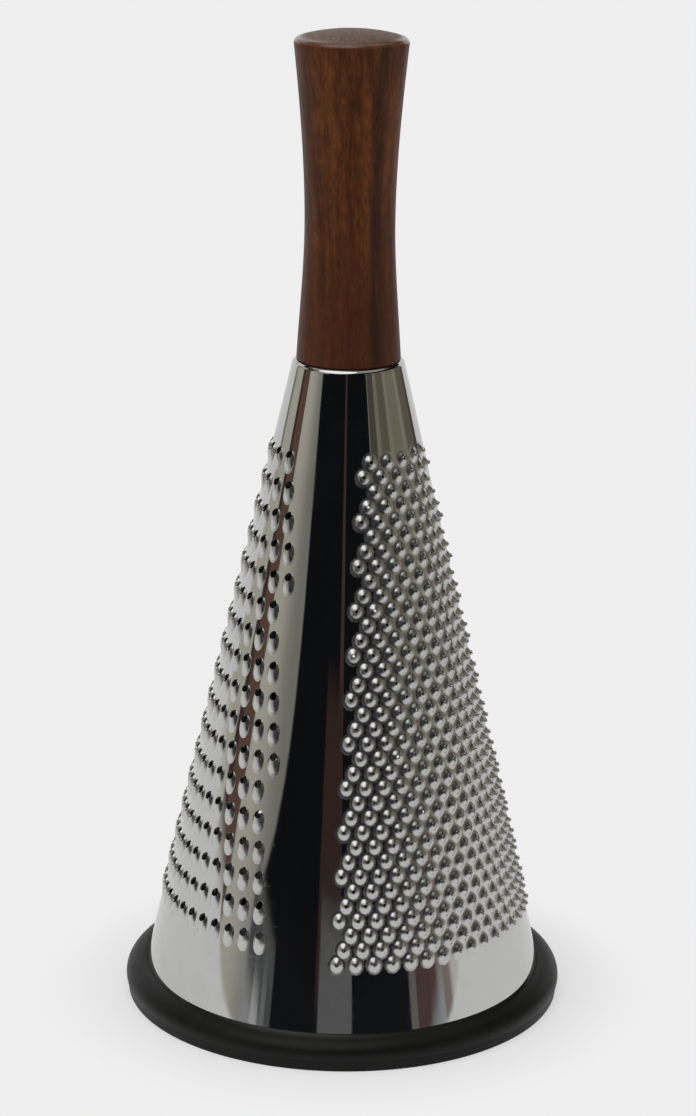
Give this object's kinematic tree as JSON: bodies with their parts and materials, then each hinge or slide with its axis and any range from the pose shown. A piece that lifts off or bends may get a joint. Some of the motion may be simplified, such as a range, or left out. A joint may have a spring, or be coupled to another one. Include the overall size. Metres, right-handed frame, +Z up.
{
  "type": "conical hand grater",
  "caption": "Tall cone-shaped kitchen grater with a waisted wooden handle on top, raised grating zones parted by plain strips, an open underside and a rubber foot ring.",
  "frame": {"origin": "centre of the underside of the rubber foot ring, on the table", "axes": "+Z up along the cone's axis towards the handle; -Y is the front, where the plain strip between the shredding zone (-X side) and the rasp zone (+X side) lies"},
  "size_m": [0.1166, 0.1166, 0.2573],
  "materials": {
    "mirror_steel": "mirror-polished stainless sheet",
    "black_rubber": "satin black rubber",
    "dark_wood": "oiled dark reddish brown wood, satin",
    "insert_brass": "plain machined",
    "zinc_steel": "zinc plated",
    "spring_steel": "dark spring steel",
    "washer_steel": "plain steel"
  },
  "bodies": {
    "root": {"grating_cone": "mirror_steel", "foot_ring": "black_rubber", "handle": "dark_wood", "thread_insert": "insert_brass", "handle_screw": "zinc_steel", "lock_washer": "spring_steel", "clamp_washer": "washer_steel"}
  },
  "joints": []
}
